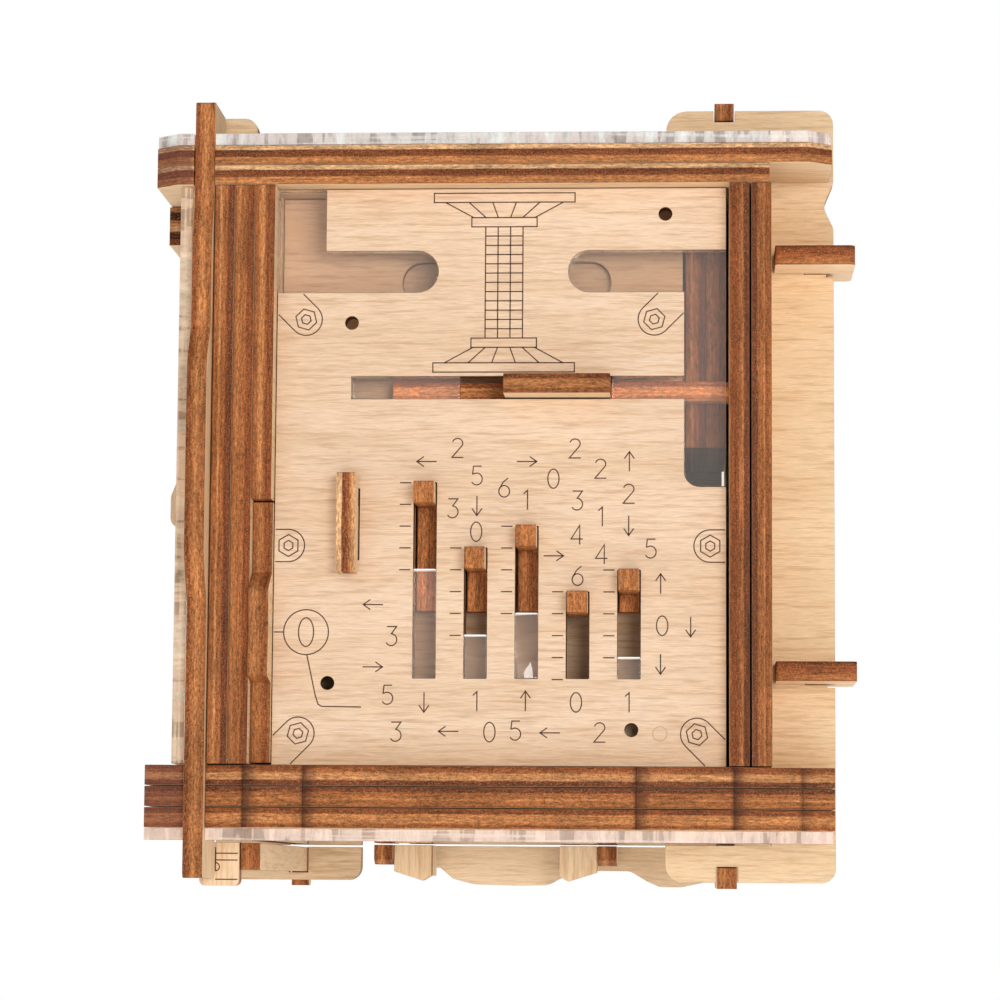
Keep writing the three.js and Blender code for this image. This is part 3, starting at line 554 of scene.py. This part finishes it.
# node: (thickness axis, grain axis, veneers, face colour, lightness of the edges)
PLATES = {
    "front_panel": (1, 0, "plain", FACE_PANEL, 0.4),
    "slider_guide": (1, 0, "plain", FACE_SIDE, 0.7),
    "slider_1": (0, 1, "peg", FACE_SIDE, 1.35),
    "slider_2": (0, 1, "peg", FACE_SIDE, 1.35),
    "slider_3": (0, 1, "peg", FACE_SIDE, 1.35),
    "slider_4": (0, 1, "peg", FACE_SIDE, 1.45),
    "slider_5": (0, 1, "peg", FACE_SIDE, 1.35),
    "bolt_slider": (2, 0, "bottom_c", FACE_SIDE, 0.92),
    "pull_tab": (0, 2, "plain", FACE_SIDE, 1.05),
    "inner_plate": (1, 0, "plain", FACE_BEHIND_PAINTED_SHADE, 0.7),
    "inner_spacer_left": (0, 2, "wall_a", FACE_SIDE, 0.8),
    "inner_spacer_right": (0, 2, "wall_b", FACE_SIDE, 0.8),
    "left_wall_outer": (0, 1, "wall_a", FACE_SIDE, 1.0),
    "left_wall_middle": (0, 1, "wall_b", FACE_SIDE, 1.0),
    "left_wall_inner": (0, 1, "wall_c", FACE_SIDE, 1.0),
    "left_latch": (0, 1, "latch", FACE_SIDE, 0.9),
    "left_finger_tab": (1, 2, "plain", FACE_SIDE, 1.0),
    "left_block": (2, 1, "block", FACE_SIDE, 0.9),
    "right_wall_inner": (0, 1, "wall_d", FACE_SIDE, 0.95),
    "right_wall_outer": (0, 1, "wall_e", FACE_SIDE, 0.95),
    "left_upright_front": (0, 2, "upright", FACE_SIDE, 1.0),
    "left_upright_rear": (0, 2, "upright", FACE_SIDE, 1.0),
    "bottom_plate_lower": (2, 0, "bottom_c", FACE_SIDE, 0.95),
    "bottom_plate_middle": (2, 0, "bottom_b", FACE_SIDE, 0.95),
    "bottom_plate_upper": (2, 0, "bottom_a", FACE_SIDE, 0.95),
    "top_plate_inner": (2, 0, "top", FACE_SIDE, 0.94),
    "top_plate_outer": (2, 0, "top", FACE_SIDE, 0.92),
    "right_bracket_front": (1, 0, "plain", FACE_SIDE, 0.8),
    "right_bracket_rear": (1, 0, "plain", FACE_SIDE, 0.8),
    "left_bracket_rear": (1, 0, "plain", FACE_SIDE, 0.8),
    "top_right_rail": (0, 1, "latch", FACE_SIDE, 0.9),
    "bottom_right_rail": (0, 1, "latch", FACE_SIDE, 0.9),
    "bottom_left_rail": (0, 1, "latch", FACE_SIDE, 0.9),
    "top_left_lug": (1, 0, "plain", FACE_SIDE, 0.9),
    "bottom_left_lug": (1, 2, "plain", FACE_LOW_PAINTED_LIGHT, 0.9),
    "right_shelf_upper": (2, 0, "shelf", FACE_LOW_PAINTED_LIGHT, 1.1),
    "right_shelf_lower": (2, 0, "shelf", FACE_LOW_PAINTED_LIGHT, 1.1),
    "left_clip_centre": (1, 2, "plain", FACE_SIDE, 0.9),
    "left_clip_outer_cheek": (0, 2, "wall_c", FACE_SIDE, 0.9),
    "left_clip_inner_cheek": (0, 2, "wall_c", FACE_SIDE, 0.9),
    "right_clip_centre": (1, 2, "plain", FACE_SIDE, 0.9),
    "right_clip_outer_cheek": (0, 2, "wall_c", FACE_SIDE, 0.9),
    "right_clip_inner_cheek": (0, 2, "wall_c", FACE_SIDE, 0.9),
    "bottom_skirt": (1, 0, "plain", FACE_LOW_PAINTED_LIGHT, 0.9),
    "back_panel": (1, 0, "plain", FACE_PANEL, 0.8),
    "drawer_front": (1, 0, "plain", FACE_PANEL, 0.8),
    "drawer_floor": (2, 0, "plain", FACE_SIDE, 0.9),
    "drawer_side_left": (0, 1, "wall_b", FACE_SIDE, 0.9),
    "drawer_side_right": (0, 1, "wall_b", FACE_SIDE, 0.9),
    "drawer_back": (1, 0, "plain", FACE_SIDE, 0.9),
}
# node: (thickness axis, colour of the cut edges)
COVERS = {
    "left_cover_sheet": (0, (252, 216, 184)),
    "bottom_cover_sheet": (2, (238, 210, 192)),
    "top_cover_sheet": (2, (255, 241, 233)),
}
# Laser marks on the front edges of the bottom plates: where each starts, in x, and how dark it is.
BOTTOM_MARKS = [(-48.4, 0.75), (-37.1, 0.65), (25.8, 0.7), (44.0, 0.7), (56.7, 0.4)]
BOTTOM_EAR, TOP_EAR = -59.8, -60.2
MARKS = {
    "bottom_plate_lower": (BOTTOM_MARKS, BOTTOM_EAR),
    "bottom_plate_middle": (BOTTOM_MARKS, BOTTOM_EAR),
    "bottom_plate_upper": (BOTTOM_MARKS, BOTTOM_EAR),
    "top_plate_inner": ([], TOP_EAR),
    "top_plate_outer": ([], TOP_EAR),
}
INSERTS = [
    "window_insert_left", "window_insert_right", "bolt_slot_insert",
    "slot_insert_1", "slot_insert_2", "slot_insert_3", "slot_insert_5",
]
# Inserts: colour of the cut edges, how much painted reflection veils the faces, and how much frosting with
# painted highlight the edges have.
INSERT_TINT, INSERT_REFLECTION_VEIL, INSERT_EDGE_FROST_AND_GLINT = (208, 186, 172), 0.04, (0.15, 0.35)
PLATE_BEVEL, INSERT_BEVEL = 0.1, 0.12


def dress(name, material, bevel=PLATE_BEVEL):
    """Gives a CAD plate its material, joins up its flat faces and eases its cut edges."""
    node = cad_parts[name]
    node.data.materials.clear()
    node.data.materials.append(material)
    weld = node.modifiers.new("weld", "WELD")
    weld.merge_threshold = 0.001 * MM
    dissolve = node.modifiers.new("dissolve", "DECIMATE")
    dissolve.decimate_type = "DISSOLVE"
    dissolve.angle_limit = math.radians(0.5)
    ease = node.modifiers.new("ease", "BEVEL")
    ease.width = bevel * MM
    ease.segments = 2
    ease.limit_method = "ANGLE"
    ease.angle_limit = math.radians(35)
    ease.harden_normals = True


# ---------- light and floor ----------
# Strength of the light from all round and from the floor, and power of the two lamps.
AROUND, BELOW, KEY, FRONT = 0.4, 1.2, 2.4, 4.4
AIM = Vector((0, 0, 0.075))


def area(name, at, size, power, colour):
    data = bpy.data.lights.new(name, "AREA")
    data.size, data.energy, data.color = size, power, colour
    lamp = bpy.data.objects.new(name, data)
    lamp.location = at
    lamp.rotation_mode = "QUATERNION"
    lamp.rotation_quaternion = (AIM - Vector(at)).to_track_quat("-Z", "Y")
    scene.collection.objects.link(lamp)


def studio():
    """Soft light from all round, a large and a small lamp in front, and a floor that lights from below.
    The camera sees floor and background in the same white, and the background also through acrylic."""
    world = bpy.data.worlds.new("studio")
    world.use_nodes = True
    nodes, links = world.node_tree.nodes, world.node_tree.links
    path = nodes.new("ShaderNodeLightPath")
    strength = nodes.new("ShaderNodeMapRange")
    strength.inputs[3].default_value, strength.inputs[4].default_value = AROUND, 1.0
    straight = nodes.new("ShaderNodeMath")
    straight.operation = "MAXIMUM"
    links.new(path.outputs["Is Camera Ray"], straight.inputs[0])
    links.new(path.outputs["Is Transmission Ray"], straight.inputs[1])
    links.new(straight.outputs[0], strength.inputs[0])
    nodes["Background"].inputs["Color"].default_value = (1, 1, 1, 1)
    links.new(strength.outputs[0], nodes["Background"].inputs["Strength"])
    scene.world = world
    scene.view_settings.view_transform = "Standard"
    area("key", (-0.5, -1.2, 0.9), 0.9, KEY, (1, 0.99, 0.975))
    area("front", (0.32, -1.0, 0.1), 0.3, FRONT, (1, 0.99, 0.985))
    mesh = bpy.data.meshes.new("floor")
    half = 6.0
    corners = [(-half, -half, 0), (half, -half, 0), (half, half, 0), (-half, half, 0)]
    mesh.from_pydata(corners, [], [(0, 1, 2, 3)])
    t = Tree("floor")
    seen = t.spread(t.node("ShaderNodeLightPath").outputs["Is Camera Ray"], 0, 1, BELOW, 1.0)
    mesh.materials.append(t.surface(t.node("ShaderNodeEmission", {"Strength": seen}).outputs[0]))
    floor = bpy.data.objects.new("floor", mesh)
    floor.location.z = -0.05 * MM
    scene.collection.objects.link(floor)


# ---------- assembly ----------
make_camera()
studio()
for plate, look in PLATES.items():
    dress(plate, plywood(plate, *look, *MARKS.get(plate, ())))
for sheet, (axis, colour) in COVERS.items():
    dress(sheet, acrylic(sheet, axis, colour))
for insert in INSERTS:
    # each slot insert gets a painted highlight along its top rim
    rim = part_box(insert)[1][2] / MM if insert.startswith("slot_insert") else None
    dress(insert, acrylic(insert, 1, INSERT_TINT, INSERT_REFLECTION_VEIL, INSERT_EDGE_FROST_AND_GLINT, rim), INSERT_BEVEL)
burnt = scorched()
for draw in (digits, arrows, slot_ticks, nuts, dial, column, lug_lines):
    draw(burnt)
plug()
